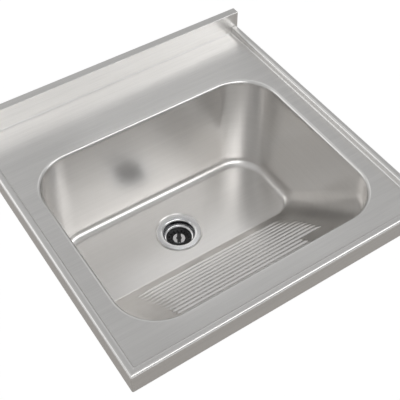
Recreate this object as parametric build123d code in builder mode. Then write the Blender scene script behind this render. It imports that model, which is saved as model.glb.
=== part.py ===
"""Wall-hung laundry sink of stainless sheet, with a washboard front and a lift-out drain basket.

X runs to the right, Y from the user towards the wall and Z up, in millimetres. The origin lies on
the wall plane, midway between the two holes of the wall brackets.
"""

from build123d import *
import math
import os

os.makedirs("parts", exist_ok=True)

# Top sheet
sink_width = 600.0
sink_depth = 600.0
sheet = 1.0
border_width = 14.3
border_height = 14.0
border_outer_radius = 6.0
border_inner_radius = 5.0
border_foot_radius = 2.5
corner_radius = 3.0
pan_corner_radius = 4.0
skirt_drop = 33.0
skirt_return = 12.0
upstand_height = 47.0
upstand_depth = 16.7
upstand_cove = 4.0
upstand_edge_radius = 1.2
rear_return = 30.0

# Bowl
bowl_width = 500.0
bowl_length = 400.0
bowl_front_gap = 60.0
bowl_corner = 80.0
bowl_depth = 230.0
bowl_draft = 1.5
rim_radius = 6.0
floor_corner = 72.0
front_floor_corner = 50.0
floor_radius = 18.0
slope_top_drop = 50.0
floor_length = 185.4
slope_trim = 0.05

# Washboard ribs, counted up the slope from its foot
rib_count = 12
short_rib_count = 3
rib_pitch = 17.2
rib_first_gap = 37.5
rib_width = 12.5
rib_height = 3.2
rib_left_end = -152.0
rib_right_end = 179.0
short_rib_right_end = 129.0

# Drain
drain_back_gap = 110.0
drain_recess_radius = 49.0
drain_recess_depth = 2.0
drain_hole_radius = 35.0
flange_radius = 45.0
flange_proud = 0.2
flange_lip_gap = 0.1
flange_roll = 7.0
cup_radius = 31.0
cup_depth = 13.0
cup_cove = 4.5
chamber_depth = 37.3
neck_radius = 21.5
neck_wall = 2.0
neck_depth = 66.0
thread_height = 1.0
seal_thickness = 1.2
seal_radius = 43.5
washer_gap = 0.5
under_washer_thickness = 2.5
under_washer_radius = 46.0
friction_ring_thickness = 0.8
lock_nut_radius = 42.0
lock_nut_height = 7.7
lug_count = 8
lug_width = 10.0
lug_reach = 4.0

# Waste tube and its coupling
tube_radius = 20.0
tube_wall = 1.5
tube_length = 60.0
tube_flange_thickness = 2.0
tube_shoulder = 1.0
shoulder_overrun = 1.0
tail_washer_thickness = 2.5
slip_nut_radius = 29.0
slip_nut_grip = 16.0
slip_nut_lip = 3.5
slip_rib_count = 12
slip_rib_width = 4.0
slip_rib_reach = 1.5

# Lift-out basket
basket_gap = 0.5
basket_top_depth = 23.5
basket_plate = 2.0
basket_wall = 1.6
basket_side_inset = 1.5
seal_disc_thickness = 2.5
seal_disc_gap = 0.3
post_radius = 5.8
ring_radius = 12.4
ring_height = 2.5
ring_edge_radius = 0.8
outer_row_radius = 20.6
outer_row_count = 16
outer_hole_radius = 1.9
inner_row_radius = 16.0
inner_row_count = 12
inner_hole_radius = 1.7
slot_count = 12
slot_width = 4.0
slot_height = 5.0
screw_radius = 2.2
screw_head_radius = 6.0
screw_head_height = 2.5
screw_length = 9.0

# Stiffeners under the deck
channel_sheet = 1.5
channel_drop = 25.0
side_channel_width = 25.0
side_channel_crown = 13.0
side_channel_gap = 28.5
cross_channel_width = 30.0
cross_channel_crown = 16.0
rear_channel_width = 50.0
rear_channel_crown = 30.0
rear_channel_from_wall = 50.0
front_channel_gap = 35.0
cross_channel_gap = 50.0
side_channel_front = 35.0
side_channel_rear = 90.0

# Wall brackets and their bolts
bracket_spacing = 400.0
bracket_width = 40.0
bracket_sheet = 3.0
bracket_reach = 76.0
wall_hole_drop = 56.0
bracket_foot_drop = 27.0
gusset_reach = 62.0
bolt_radius = 4.0
bolt_hole_radius = 4.5
bolt_head_radius = 7.5
bolt_head_height = 5.3
washer_radius = 8.5
washer_thickness = 1.6
nut_height = 6.5
bolt_overrun = 2.0
thread_gap = 0.1

# Damping pads
pad_thickness = 3.0
pad_top_drop = 56.0
pad_height = 100.0
back_pad_length = 300.0
side_pad_length = 110.0
side_pad_from_wall = 225.0
slope_pad_length = 280.0
slope_pad_gap = 40.0
slope_pad_depth = 140.0
floor_pad_length = 340.0
floor_pad_depth = 136.0
pad_drain_gap = 8.0

# Levels and places that follow
deck_z = wall_hole_drop
front_y = -sink_depth
border_top_z = deck_z + border_height
skirt_z = deck_z - skirt_drop
upstand_top_z = deck_z + upstand_height
lip_z = deck_z - sheet - rim_radius
floor_z = deck_z - bowl_depth
bowl_front_y = front_y + bowl_front_gap
bowl_mid_y = bowl_front_y + bowl_length / 2
bowl_back_y = bowl_front_y + bowl_length
slope_foot_y = bowl_back_y - floor_length
slope_run = slope_foot_y - bowl_front_y
drain_y = bowl_back_y - drain_back_gap
draft = math.tan(math.radians(bowl_draft))
slope = math.atan2(bowl_depth - slope_top_drop, slope_run - slope_top_drop * draft)
up_slope = Vector(0, -math.cos(slope), math.sin(slope))
off_slope = Vector(0, math.sin(slope), math.cos(slope))
slope_foot = Vector(0, slope_foot_y, floor_z)


def save(piece, name):
    """Labels a finished piece and writes it to its file."""
    piece.label = name
    export_step(piece, f"parts/{name}.step")


def box_between(low, high, mode=Mode.ADD):
    """A box between two corners, in the open part."""
    size = [b - a for a, b in zip(low, high)]
    middle = [(a + b) / 2 for a, b in zip(low, high)]
    with Locations(tuple(middle)):
        Box(*size, mode=mode)


def top_form(inset):
    """The block whose skin is the top sheet's outside, with every face moved inwards by inset."""
    side = sink_width / 2 - inset
    pan_side = sink_width / 2 - border_width + inset
    pan_front = front_y + border_width - inset
    face_y = -upstand_depth + inset
    top = border_top_z - inset
    with BuildPart() as form:
        box_between((-side, front_y + inset, skirt_z + inset), (side, -inset, top))
        fillet(form.edges().filter_by(Axis.Z).group_by(Axis.Y)[0], corner_radius - inset)
        rim = form.edges().group_by(Axis.Z)[-1]
        fillet(rim.filter_by(lambda e: e.center().Y < face_y - 1), border_outer_radius - inset)
        box_between((-side, face_y, skirt_z + inset), (side, -inset, upstand_top_z - inset))
        with BuildSketch(Plane.XY.offset(deck_z - inset)) as pan:
            with Locations((0, (pan_front + face_y) / 2)):
                Rectangle(2 * pan_side, face_y - pan_front)
            fillet(pan.vertices().group_by(Axis.Y)[0], pan_corner_radius + inset)
        extrude(amount=border_height + 1, mode=Mode.SUBTRACT)
        pan_top = form.edges().filter_by(lambda e: abs(e.center().Z - top) < 0.01)
        lip = pan_top.filter_by(lambda e: abs(e.center().X) < pan_side + 0.1)
        lip = lip.filter_by(lambda e: e.center().Y > pan_front - 0.1 and e.center().Y < face_y - 1)
        fillet(lip, border_inner_radius - inset)
        foot = form.edges().filter_by(lambda e: abs(e.center().Z - deck_z + inset) < 0.01)
        foot = foot.filter_by(lambda e: e.center().Y < face_y - 1 and abs(e.center().X) < side - 1)
        fillet(foot, border_foot_radius + inset)
        upper = form.edges().filter_by(Axis.X).group_by(Axis.Z)[-1].sort_by(Axis.Y)[0]
        fillet(upper, upstand_edge_radius - inset / 2)
        cove = upstand_cove + inset
        with BuildSketch(Plane.YZ.offset(-pan_side)) as cove_section:
            with BuildLine():
                Line((face_y, deck_z - inset), (face_y - cove, deck_z - inset))
                RadiusArc(
                    (face_y - cove, deck_z - inset), (face_y, deck_z - inset + cove), -cove
                )
                Line((face_y, deck_z - inset + cove), (face_y, deck_z - inset))
            make_face()
        extrude(amount=2 * pan_side)
    return form.part


def bowl_section(depth, front, front_corner, corner, grow):
    """The bowl's outline at a depth below the deck, with its walls moved outwards by grow."""
    half = bowl_width / 2 - depth * draft + grow
    back = bowl_back_y - depth * draft + grow
    with BuildSketch(Plane.XY.offset(deck_z - depth)) as outline:
        with Locations((0, (front + back) / 2)):
            Rectangle(2 * half, back - front)
        fillet(outline.vertices().group_by(Axis.Y)[0], front_corner)
        fillet(outline.vertices().group_by(Axis.Y)[-1], corner)
    return outline.sketch.faces()[0]


def bowl_form(grow):
    """The bowl's hollow as a solid: upright walls above, the sloped front below."""
    lip_drop = deck_z - lip_z
    turn = slope_top_drop + grow * (1 - math.sin(slope)) / math.cos(slope)
    wall_y = bowl_front_y - grow
    foot_y = slope_foot_y - grow * math.tan(slope / 2)
    mouth_y = wall_y + lip_drop * draft
    turn_y = wall_y + slope_top_drop * draft
    mouth_corner = bowl_corner + grow - lip_drop * draft
    turn_corner = bowl_corner + grow - turn * draft
    front_corner = front_floor_corner + grow
    mouth = bowl_section(lip_drop, mouth_y, mouth_corner, mouth_corner, grow)
    middle = bowl_section(turn, turn_y, turn_corner, turn_corner, grow)
    bottom = bowl_section(bowl_depth + grow, foot_y, front_corner, floor_corner + grow, grow)
    with BuildPart() as form:
        loft([mouth, middle], ruled=True)
        loft([middle, bottom], ruled=True)
        fillet(form.edges().group_by(Axis.Z)[0], floor_radius + grow)
        on_slope = slope_foot + off_slope * (slope_trim - grow)
        split(bisect_by=Plane(origin=on_slope, x_dir=(1, 0, 0), z_dir=off_slope), keep=Keep.TOP)
    return form.part


def rib_bar(row, thinner):
    """One round bar of the washboard, thinner by the sheet for the hollow under it."""
    half = rib_width / 2
    full_radius = (half**2 + rib_height**2) / (2 * rib_height)
    sunk = full_radius - rib_height
    radius = full_radius - thinner
    along = rib_first_gap + row * rib_pitch
    centre = slope_foot + up_slope * along - off_slope * sunk
    right = short_rib_right_end if row >= rib_count - short_rib_count else rib_right_end
    low_x = rib_left_end + half
    high_x = right - half
    with BuildPart() as bar:
        with BuildSketch(Plane.YZ.offset(low_x)):
            with Locations((centre.Y, centre.Z)):
                Circle(radius)
        extrude(amount=high_x - low_x)
        with Locations((low_x, centre.Y, centre.Z), (high_x, centre.Y, centre.Z)):
            Sphere(radius)
    return bar.part


top_outside = top_form(0)
top_inside = top_form(sheet)
bowl_hollow = bowl_form(0)
bowl_outside = bowl_form(sheet)
pad_outside = bowl_form(sheet + pad_thickness)

# Top sheet: deck, border, skirt, upstand and the turned-down rim of the bowl
with BuildPart() as deck:
    add(top_outside)
    add(top_inside, mode=Mode.SUBTRACT)
    open_side = sink_width / 2 - skirt_return
    box_between(
        (-open_side, front_y + skirt_return, skirt_z - 1),
        (open_side, 1, skirt_z + 2 * sheet),
        mode=Mode.SUBTRACT,
    )
    box_between(
        (-sink_width / 2 + sheet, -2 * sheet, skirt_z - 1),
        (sink_width / 2 - sheet, 1, upstand_top_z - rear_return),
        mode=Mode.SUBTRACT,
    )
    with BuildSketch(Plane.XY.offset(lip_z)):
        with Locations((0, bowl_mid_y)):
            RectangleRounded(
                bowl_width + 2 * sheet, bowl_length + 2 * sheet, bowl_corner + sheet
            )
    extrude(amount=deck_z - sheet / 2 - lip_z)
    under = deck.edges().filter_by(lambda e: abs(e.center().Z - deck_z + sheet) < 0.01)
    under = under.filter_by(lambda e: abs(e.center().X) < bowl_width / 2 + 2)
    under = under.filter_by(lambda e: abs(e.center().Y - bowl_mid_y) < bowl_length / 2 + 2)
    fillet(under, rim_radius - sheet)
    with BuildSketch(Plane.XY.offset(lip_z - 1)):
        with Locations((0, bowl_mid_y)):
            RectangleRounded(bowl_width, bowl_length, bowl_corner)
    extrude(amount=deck_z - lip_z + 2, mode=Mode.SUBTRACT)
    mouth_edge = deck.edges().filter_by(lambda e: abs(e.center().Z - deck_z) < 0.01)
    mouth_edge = mouth_edge.filter_by(lambda e: abs(e.center().X) < bowl_width / 2 + 2)
    mouth_edge = mouth_edge.filter_by(
        lambda e: abs(e.center().Y - bowl_mid_y) < bowl_length / 2 + 2
    )
    fillet(mouth_edge, rim_radius)
save(deck.part, "deck")

# Bowl: drawn shell with pressed ribs, a recess for the drain and the drain's hole
hung = (Align.CENTER, Align.CENTER, Align.MAX)
recess_foot_radius = drain_recess_radius - drain_recess_depth
recess_skin = sheet * math.tan(math.radians(45 / 2))
with BuildPart() as bowl_inner:
    add(bowl_hollow)
    add([rib_bar(row, 0) for row in range(rib_count)], mode=Mode.SUBTRACT)
    with Locations((0, drain_y, floor_z)):
        Cone(recess_foot_radius, drain_recess_radius, drain_recess_depth, align=hung)
        Cylinder(drain_hole_radius, drain_recess_depth + 2 * sheet, align=hung)
with BuildPart() as bowl:
    add(bowl_outside)
    add([rib_bar(row, sheet) for row in range(rib_count)], mode=Mode.SUBTRACT)
    with Locations((0, drain_y, floor_z - sheet)):
        Cone(
            recess_foot_radius + recess_skin,
            drain_recess_radius + recess_skin,
            drain_recess_depth,
            align=hung,
        )
    add(bowl_inner.part, mode=Mode.SUBTRACT)
save(bowl.part, "bowl")


def turned(points, arcs=()):
    """A piece turned about the drain's axis, from its (radius, height above the floor) outline.

    An arc is (start, end, radius) and takes the place of the straight side between two points.
    """
    curved = {(start, end): radius for start, end, radius in arcs}
    with BuildPart() as piece:
        with BuildSketch(Plane(origin=(0, drain_y, floor_z), x_dir=(1, 0, 0), z_dir=(0, -1, 0))):
            with BuildLine():
                for start, end in zip(points, points[1:] + points[:1]):
                    if (start, end) in curved:
                        RadiusArc(start, end, curved[start, end])
                    else:
                        Line(start, end)
            make_face()
        revolve(axis=Axis((0, drain_y, floor_z), (0, 0, 1)))
    return piece.part


def tube(inner, outer, low, high):
    """A plain ring about the drain's axis between two heights above the floor."""
    return turned([(inner, low), (outer, low), (outer, high), (inner, high)])


# Drain body: flange, cup, coved seat, basket chamber and threaded neck in one pressing
chamber_radius = cup_radius - cup_cove
chamber_outer = chamber_radius + sheet
neck_outer = neck_radius + neck_wall
thread_radius = cup_radius + sheet + thread_height
seal_top = seal_thickness - drain_recess_depth
cove_low = -cup_depth - cup_cove
cove_outer_low = -cup_depth - math.sqrt((cup_cove + sheet) ** 2 - sheet**2)
under_z = -drain_recess_depth - sheet
thread_low = -cup_depth
roll_centre = cup_radius + flange_roll
roll_low = flange_proud - flange_roll
strainer_body = turned(
    [
        (flange_radius, flange_lip_gap - drain_recess_depth),
        (flange_radius, flange_proud - sheet),
        (flange_radius - sheet, flange_proud),
        (roll_centre, flange_proud),
        (cup_radius, roll_low),
        (cup_radius, -cup_depth),
        (chamber_radius, cove_low),
        (chamber_radius, -chamber_depth),
        (neck_radius, -chamber_depth),
        (neck_radius, -neck_depth),
        (neck_outer, -neck_depth),
        (neck_outer, -chamber_depth - sheet),
        (chamber_outer, -chamber_depth - sheet),
        (chamber_outer, cove_outer_low),
        (cup_radius + sheet, thread_low),
        (thread_radius, thread_low),
        (thread_radius, roll_low),
        (cup_radius + sheet, roll_low),
        (roll_centre, seal_top),
        (flange_radius - sheet, seal_top),
        (flange_radius - sheet, flange_lip_gap - drain_recess_depth),
    ],
    arcs=[
        ((flange_radius, flange_proud - sheet), (flange_radius - sheet, flange_proud), -sheet),
        ((roll_centre, flange_proud), (cup_radius, roll_low), -flange_roll),
        ((cup_radius, -cup_depth), (chamber_radius, cove_low), cup_cove),
        ((chamber_outer, cove_outer_low), (cup_radius + sheet, thread_low), -cup_cove - sheet),
        ((cup_radius + sheet, roll_low), (roll_centre, seal_top), flange_roll - sheet),
    ],
)
save(strainer_body, "strainer_body")

# Rings that seal the flange and clamp the drain to the bowl
washer_low = under_z - under_washer_thickness
nut_top = washer_low - friction_ring_thickness
nut_low = nut_top - lock_nut_height
clamp_bore = thread_radius + washer_gap
flange_seal = tube(roll_centre + washer_gap, seal_radius, -drain_recess_depth, seal_top)
save(flange_seal, "flange_seal")
save(tube(clamp_bore, under_washer_radius, washer_low, under_z), "under_washer")
save(tube(clamp_bore, lock_nut_radius, nut_top, washer_low), "friction_ring")

# Lock nut with lugs to grip it by
with BuildPart() as lock_nut:
    add(tube(thread_radius + thread_gap, lock_nut_radius, nut_low, nut_top))
    with BuildSketch(Plane.XY.offset(floor_z + nut_low)):
        with Locations((0, drain_y)):
            with PolarLocations(lock_nut_radius, lug_count):
                Rectangle(2 * lug_reach, lug_width)
    extrude(amount=lock_nut_height)
save(lock_nut.part, "lock_nut")

# Waste tube, its washer and the coupling nut that holds it under the neck
tail_top = -neck_depth - tail_washer_thickness
tube_top = tail_top - tube_flange_thickness
slip_top = slip_nut_grip - neck_depth
slip_low = tube_top - slip_nut_lip
shoulder_low = slip_low - shoulder_overrun
shoulder_radius = tube_radius + tube_shoulder
tube_end = shoulder_low - tube_length
tube_bore = tube_radius - tube_wall
tube_flange = neck_outer - washer_gap
save(tube(tube_bore, tube_flange, tail_top, -neck_depth), "tail_washer")
tailpiece = turned(
    [
        (tube_bore, tube_end),
        (tube_radius, tube_end),
        (tube_radius, shoulder_low),
        (shoulder_radius, shoulder_low),
        (shoulder_radius, tube_top),
        (tube_flange, tube_top),
        (tube_flange, tail_top),
        (tube_bore, tail_top),
    ]
)
save(tailpiece, "tailpiece")
lip_bore = shoulder_radius + thread_gap
slip_bore = neck_outer + thread_gap
with BuildPart() as slip_nut:
    add(
        turned(
            [
                (lip_bore, slip_low),
                (slip_nut_radius, slip_low),
                (slip_nut_radius, slip_top),
                (slip_bore, slip_top),
                (slip_bore, tube_top),
                (lip_bore, tube_top),
            ]
        )
    )
    with BuildSketch(Plane.XY.offset(floor_z + slip_low)):
        with Locations((0, drain_y)):
            with PolarLocations(slip_nut_radius, slip_rib_count):
                Rectangle(2 * slip_rib_reach, slip_rib_width)
    extrude(amount=slip_top - slip_low)
save(slip_nut.part, "slip_nut")

# Basket: moulded strainer with a pierced top, slotted side and a centre post
basket_radius = chamber_radius - basket_gap
basket_top = -basket_top_depth
plate_low = basket_top - basket_plate
side_radius = basket_radius - basket_side_inset
seal_low = seal_disc_gap - chamber_depth
basket_low = seal_low + seal_disc_thickness
ring_top = basket_top + ring_height
screw_top = seal_low + screw_length
screw_bore = screw_radius + thread_gap
with BuildPart() as basket:
    add(
        turned(
            [
                (screw_bore, basket_low),
                (side_radius, basket_low),
                (side_radius, plate_low),
                (basket_radius, plate_low),
                (basket_radius, basket_top),
                (post_radius, basket_top),
                (post_radius, ring_top),
                (0, ring_top),
                (0, screw_top + thread_gap),
                (screw_bore, screw_top + thread_gap),
            ]
        )
    )
    add(
        tube(post_radius, side_radius - basket_wall, basket_low + basket_wall, plate_low),
        mode=Mode.SUBTRACT,
    )
    with BuildSketch(Plane.XY.offset(floor_z + basket_top)):
        with Locations((0, drain_y)):
            with PolarLocations(outer_row_radius, outer_row_count):
                Circle(outer_hole_radius)
            with PolarLocations(inner_row_radius, inner_row_count):
                Circle(inner_hole_radius)
    extrude(amount=-basket_plate - basket_wall / 2, mode=Mode.SUBTRACT)
    slot_middle = (basket_low + basket_wall + plate_low) / 2
    with Locations((0, drain_y, floor_z + slot_middle)):
        with PolarLocations(side_radius, slot_count):
            Box(3 * basket_wall, slot_width, slot_height, mode=Mode.SUBTRACT)
save(basket.part, "basket")

# Bright ring round the post, rubber disc under the basket and the screw that holds it
with BuildPart() as knob_ring:
    add(tube(post_radius + thread_gap, ring_radius, basket_top, ring_top))
    fillet(knob_ring.edges().group_by(Axis.Z)[-1], ring_edge_radius)
save(knob_ring.part, "knob_ring")
save(tube(screw_bore, basket_radius - 1, seal_low, basket_low), "basket_seal")
seal_screw = turned(
    [
        (0, seal_low - screw_head_height),
        (screw_head_radius, seal_low - screw_head_height),
        (screw_head_radius, seal_low),
        (screw_radius, seal_low),
        (screw_radius, screw_top),
        (0, screw_top),
    ]
)
save(seal_screw, "seal_screw")


def hat_channel(plane, length, width, crown):
    """A folded hat-section stiffener hung from the plane's origin, run along the plane's normal."""
    half = width / 2
    web = crown / 2
    inside = web - channel_sheet
    floor = channel_sheet - channel_drop
    points = [
        (-half, 0),
        (-half, -channel_sheet),
        (-web, -channel_sheet),
        (-web, -channel_drop),
        (web, -channel_drop),
        (web, -channel_sheet),
        (half, -channel_sheet),
        (half, 0),
        (inside, 0),
        (inside, floor),
        (-inside, floor),
        (-inside, 0),
    ]
    with BuildPart() as channel:
        with BuildSketch(plane):
            with BuildLine():
                Polyline(*points, close=True)
            make_face()
        extrude(amount=length)
    return channel.part


# Stiffeners bonded under the deck
side_channel_x = sink_width / 2 - side_channel_gap
cross_channel_length = sink_width - 2 * cross_channel_gap
under_deck_z = deck_z - sheet
channel_foot_z = under_deck_z - channel_drop
side_channel_y = front_y + side_channel_front
side_channel_length = -side_channel_rear - side_channel_y
for side, x in (("left", -side_channel_x), ("right", side_channel_x)):
    side_plane = Plane(
        origin=(x, side_channel_y, under_deck_z), x_dir=(-1, 0, 0), z_dir=(0, 1, 0)
    )
    side_channel = hat_channel(
        side_plane, side_channel_length, side_channel_width, side_channel_crown
    )
    save(side_channel, f"{side}_channel")
front_plane = Plane(
    origin=(-cross_channel_length / 2, front_y + front_channel_gap, under_deck_z),
    x_dir=(0, 1, 0),
    z_dir=(1, 0, 0),
)
front_channel = hat_channel(
    front_plane, cross_channel_length, cross_channel_width, cross_channel_crown
)
save(front_channel, "front_channel")
bolt_y = -rear_channel_from_wall
rear_plane = Plane(
    origin=(-cross_channel_length / 2, bolt_y, under_deck_z), x_dir=(0, 1, 0), z_dir=(1, 0, 0)
)
bolt_places = [(-bracket_spacing / 2, bolt_y), (bracket_spacing / 2, bolt_y)]
with BuildPart() as rear_channel:
    add(hat_channel(rear_plane, cross_channel_length, rear_channel_width, rear_channel_crown))
    with BuildSketch(Plane.XY.offset(channel_foot_z - 1)):
        with Locations(*bolt_places):
            Circle(bolt_hole_radius)
    extrude(amount=channel_sheet + 2, mode=Mode.SUBTRACT)
save(rear_channel.part, "rear_channel")

# Wall brackets: a folded angle with a gusset at each side
leg_low_z = channel_foot_z - bracket_sheet
for side, x in (("left", -bracket_spacing / 2), ("right", bracket_spacing / 2)):
    left_x = x - bracket_width / 2
    right_x = x + bracket_width / 2
    with BuildPart() as bracket:
        box_between((left_x, -bracket_reach, leg_low_z), (right_x, 0, channel_foot_z))
        box_between((left_x, -bracket_sheet, -bracket_foot_drop), (right_x, 0, channel_foot_z))
        for gusset_x in (left_x, right_x - bracket_sheet):
            with BuildSketch(Plane.YZ.offset(gusset_x)):
                with BuildLine():
                    Polyline(
                        (-bracket_sheet, -bracket_foot_drop),
                        (-bracket_sheet, leg_low_z),
                        (-gusset_reach, leg_low_z),
                        close=True,
                    )
                make_face()
            extrude(amount=bracket_sheet)
        with Locations((x, bolt_y, leg_low_z)):
            Cylinder(bolt_hole_radius, 3 * bracket_sheet, mode=Mode.SUBTRACT)
        with Locations((x, 0, 0)):
            Cylinder(bolt_hole_radius, 3 * bracket_sheet, rotation=(90, 0, 0), mode=Mode.SUBTRACT)
    save(bracket.part, f"{side}_wall_bracket")

# Bolts, washers and nuts that hold the brackets to the rear channel
washer_low_z = leg_low_z - washer_thickness
head_low_z = washer_low_z - bolt_head_height
nut_low_z = channel_foot_z + channel_sheet
with BuildPart() as bracket_bolts:
    with BuildSketch(Plane.XY.offset(head_low_z)):
        with Locations(*bolt_places):
            RegularPolygon(bolt_head_radius, 6)
    extrude(amount=bolt_head_height)
    with BuildSketch(Plane.XY.offset(washer_low_z)):
        with Locations(*bolt_places):
            Circle(bolt_radius)
    extrude(amount=nut_low_z + nut_height + bolt_overrun - washer_low_z)
save(bracket_bolts.part, "bracket_bolts")
with BuildPart() as bracket_washers:
    with BuildSketch(Plane.XY.offset(washer_low_z)):
        with Locations(*bolt_places):
            Circle(washer_radius)
            Circle(bolt_radius + thread_gap, mode=Mode.SUBTRACT)
    extrude(amount=washer_thickness)
save(bracket_washers.part, "bracket_washers")
with BuildPart() as bracket_nuts:
    with BuildSketch(Plane.XY.offset(nut_low_z)):
        with Locations(*bolt_places):
            RegularPolygon(bolt_head_radius, 6)
            Circle(bolt_radius + thread_gap, mode=Mode.SUBTRACT)
    extrude(amount=nut_height)
save(bracket_nuts.part, "bracket_nuts")


def pad_in(low, high):
    """The piece of the layer round the bowl that lies between two corners."""
    with BuildPart() as pad:
        add(pad_outside)
        add(bowl_outside, mode=Mode.SUBTRACT)
        box_between(low, high, mode=Mode.INTERSECT)
    return pad.part


# Damping pads glued to the outside of the bowl
pad_high_z = deck_z - pad_top_drop
pad_low_z = pad_high_z - pad_height
outer_x = bowl_width / 2 + 2 * pad_thickness
half_x = bowl_width / 4
side_pad_back = -side_pad_from_wall
side_pad_front = side_pad_back - side_pad_length
back_pad = pad_in(
    (-back_pad_length / 2, drain_y, pad_low_z), (back_pad_length / 2, 0, pad_high_z)
)
save(back_pad, "back_sound_pad")
left_pad = pad_in((-outer_x, side_pad_front, pad_low_z), (-half_x, side_pad_back, pad_high_z))
save(left_pad, "left_sound_pad")
right_pad = pad_in((half_x, side_pad_front, pad_low_z), (outer_x, side_pad_back, pad_high_z))
save(right_pad, "right_sound_pad")
slope_pad_front = bowl_front_y + slope_pad_gap
slope_pad = pad_in(
    (-slope_pad_length / 2, slope_pad_front, floor_z),
    (slope_pad_length / 2, slope_pad_front + slope_pad_depth, lip_z),
)
save(slope_pad, "slope_sound_pad")
with BuildPart() as floor_pad:
    add(
        pad_in(
            (-floor_pad_length / 2, drain_y - floor_pad_depth / 2, floor_z - 3 * pad_thickness),
            (floor_pad_length / 2, drain_y + floor_pad_depth / 2, floor_z),
        )
    )
    with Locations((0, drain_y, floor_z)):
        Cylinder(under_washer_radius + pad_drain_gap, 4 * pad_thickness, mode=Mode.SUBTRACT)
save(floor_pad.part, "floor_sound_pad")
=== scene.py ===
"""Looks of a wall-hung laundry sink in brushed stainless sheet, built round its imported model.

Metres throughout. X runs to the right, Y from the user towards the wall and Z up.
"""

import math

import bmesh
import bpy
from mathutils import Matrix, Vector


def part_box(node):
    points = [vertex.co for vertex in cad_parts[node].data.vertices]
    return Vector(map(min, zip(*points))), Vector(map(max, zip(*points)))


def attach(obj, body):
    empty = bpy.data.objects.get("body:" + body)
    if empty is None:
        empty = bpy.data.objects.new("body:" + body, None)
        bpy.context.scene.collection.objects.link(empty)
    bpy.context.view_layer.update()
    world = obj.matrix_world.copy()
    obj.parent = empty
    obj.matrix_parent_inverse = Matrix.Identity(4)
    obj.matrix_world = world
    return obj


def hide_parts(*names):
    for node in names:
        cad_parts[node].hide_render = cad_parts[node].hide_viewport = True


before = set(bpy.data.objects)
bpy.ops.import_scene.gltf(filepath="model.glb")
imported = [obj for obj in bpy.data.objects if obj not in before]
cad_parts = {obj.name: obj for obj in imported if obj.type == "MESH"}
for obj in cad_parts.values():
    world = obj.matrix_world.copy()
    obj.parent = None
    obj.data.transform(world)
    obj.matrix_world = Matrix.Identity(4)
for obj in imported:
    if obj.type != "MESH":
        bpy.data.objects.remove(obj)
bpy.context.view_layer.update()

# Camera: above the sink's front left corner, upright and with no shift
eye = Vector((-0.519, -1.11235, 1.117))
looks_at = Vector((-0.0244, -0.3651, 0.056))
camera = bpy.data.objects.new("camera", bpy.data.cameras.new("camera"))
camera.data.lens = 72
camera.data.sensor_width = 36
camera.location = eye
camera.rotation_mode = "QUATERNION"
camera.rotation_quaternion = (looks_at - eye).to_track_quat("-Z", "Y")
bpy.context.scene.collection.objects.link(camera)
bpy.context.scene.camera = camera

# Top sheet: one pressing of satin stainless sheet, with a rolled border on three sides, a turned-in
# skirt, an upstand at the wall and the rim of the bowl rolled down from it.
sheet = 0.001
deck_low, deck_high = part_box("deck")
bowl_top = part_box("bowl")[1].z
half_width = deck_high.x
rim_radius = 0.006
deck_z = bowl_top + sheet + rim_radius
border_width = 0.0143
border_top = deck_z + 0.014
bead_outer = 0.006
bead_inner = 0.005
bead_foot = 0.0025
fold_radius = 0.0012
lip_width = 0.012
outer_edge_radius = 0.003
inner_corner_start = border_width - 0.004
upstand_face = -0.0167
upstand_hem = 0.03
cove = 0.003
cove_start = upstand_face - cove
bowl_half = 0.25
bowl_front = -0.54
bowl_back = -0.14
bowl_corner = 0.08


def arc(centre, radius, start, end, steps):
    """Points of an arc in a plane, angles in degrees, both ends included."""
    turns = [math.radians(start + (end - start) * i / steps) for i in range(steps + 1)]
    return [(centre[0] + radius * math.cos(a), centre[1] + radius * math.sin(a)) for a in turns]


def running_length(points):
    """How far each point lies along the line through them all."""
    total = [0.0]
    for a, b in zip(points, points[1:]):
        total.append(total[-1] + (Vector(b) - Vector(a)).length)
    return total


def new_piece(name, mesh):
    """An object for a finished mesh, in the scene and at the origin."""
    piece = bpy.data.objects.new(name, mesh)
    bpy.context.scene.collection.objects.link(piece)
    return piece


def add_strip(bm, rows, grain, closed=False):
    """Quads between rows of points. grain gives a point's place along and across the brushing."""
    uv = bm.loops.layers.uv["grain"]
    made = [[bm.verts.new(p) for p in row] for row in rows]
    for i in range(len(rows) - 1):
        count = len(rows[i])
        for j in range(count if closed else count - 1):
            k = (j + 1) % count
            corners = [(i, j), (i, k), (i + 1, k), (i + 1, j)]
            face = bm.faces.new([made[a][b] for a, b in corners])
            for loop, (a, b) in zip(face.loops, corners):
                loop[uv].uv = grain(a, b if b or not closed or j == 0 else count)
    return made


def fill_flat(bm, loops):
    """Fills the flat area between closed loops of vertices, brushed along X."""
    uv = bm.loops.layers.uv["grain"]
    edges = []
    for loop in loops:
        for a, b in zip(loop, loop[1:] + loop[:1]):
            edges.append(bm.edges.get((a, b)) or bm.edges.new((a, b)))
    made = bmesh.ops.triangle_fill(bm, use_beauty=True, use_dissolve=False, edges=edges)
    for face in [f for f in made["geom"] if isinstance(f, bmesh.types.BMFace)]:
        if face.normal.z < 0:
            face.normal_flip()
        for loop in face.loops:
            loop[uv].uv = loop.vert.co.xy


def merge_doubles(bm):
    """Joins points that lie on each other and drops faces without width."""
    bmesh.ops.remove_doubles(bm, verts=bm.verts, dist=1e-6)
    bmesh.ops.dissolve_degenerate(bm, edges=bm.edges, dist=1e-7)


def smooth_piece(name, bm, material):
    """A piece of one material, shaded smooth except at its creases."""
    mesh = bpy.data.meshes.new(name)
    bm.to_mesh(mesh)
    bm.free()
    for polygon in mesh.polygons:
        polygon.use_smooth = True
    mesh.set_sharp_from_angle(angle=math.radians(32))
    mesh.materials.append(material)
    return new_piece(name, mesh)


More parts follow.
